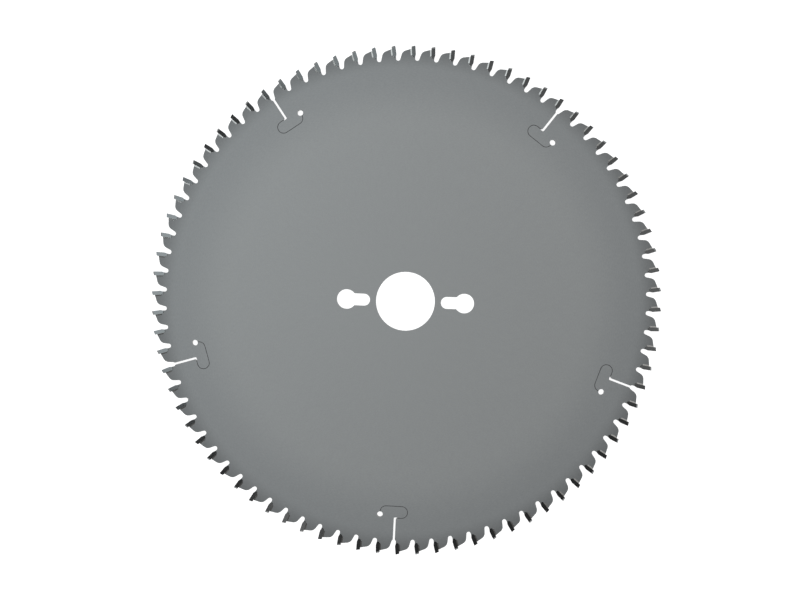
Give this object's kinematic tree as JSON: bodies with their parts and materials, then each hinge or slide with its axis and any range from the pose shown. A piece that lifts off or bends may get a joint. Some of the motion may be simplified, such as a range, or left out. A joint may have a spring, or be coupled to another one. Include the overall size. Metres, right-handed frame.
{
  "type": "carbide tipped circular saw blade",
  "caption": "Flat round saw blade with brazed carbide tips, laser-cut expansion slots, a plain bore and two drive-pin holes.",
  "frame": {"origin": "centre of the bore at half the plate's thickness", "axes": "+Z along the bore's axis, out of the face that the picture shows; +X through the drive-pin holes. Seen from +Z the teeth point clockwise."},
  "size_m": [0.2596, 0.2596, 0.0028],
  "materials": {
    "plate_steel": "satin, finely ground",
    "carbide": "ground, dark grey",
    "braze": "bright, as melted",
    "line_resin": "matte, nearly black"
  },
  "bodies": {
    "root": {"blade_body": "plate_steel", "tip_pair_01": "carbide", "tip_pair_02": "carbide", "tip_pair_03": "carbide", "tip_pair_04": "carbide", "tip_pair_05": "carbide", "tip_pair_06": "carbide", "tip_pair_07": "carbide", "tip_pair_08": "carbide", "tip_pair_09": "carbide", "tip_pair_10": "carbide", "tip_pair_11": "carbide", "tip_pair_12": "carbide", "tip_pair_13": "carbide", "tip_pair_14": "carbide", "tip_pair_15": "carbide", "tip_pair_16": "carbide", "tip_pair_17": "carbide", "tip_pair_18": "carbide", "tip_pair_19": "carbide", "tip_pair_20": "carbide", "tip_pair_21": "carbide", "tip_pair_22": "carbide", "tip_pair_23": "carbide", "tip_pair_24": "carbide", "tip_pair_25": "carbide", "tip_pair_26": "carbide", "tip_pair_27": "carbide", "tip_pair_28": "carbide", "tip_pair_29": "carbide", "tip_pair_30": "carbide", "tip_pair_31": "carbide", "tip_pair_32": "carbide", "tip_pair_33": "carbide", "tip_pair_34": "carbide", "tip_pair_35": "carbide", "tip_pair_36": "carbide", "tip_pair_37": "carbide", "tip_pair_38": "carbide", "tip_pair_39": "carbide", "tip_pair_40": "carbide", "braze_seams_01": "braze", "braze_seams_02": "braze", "braze_seams_03": "braze", "braze_seams_04": "braze", "braze_seams_05": "braze", "braze_seams_06": "braze", "braze_seams_07": "braze", "braze_seams_08": "braze", "braze_seams_09": "braze", "braze_seams_10": "braze", "line_filler_01": "line_resin", "line_filler_02": "line_resin", "line_filler_03": "line_resin", "line_filler_04": "line_resin", "line_filler_05": "line_resin"}
  },
  "joints": []
}
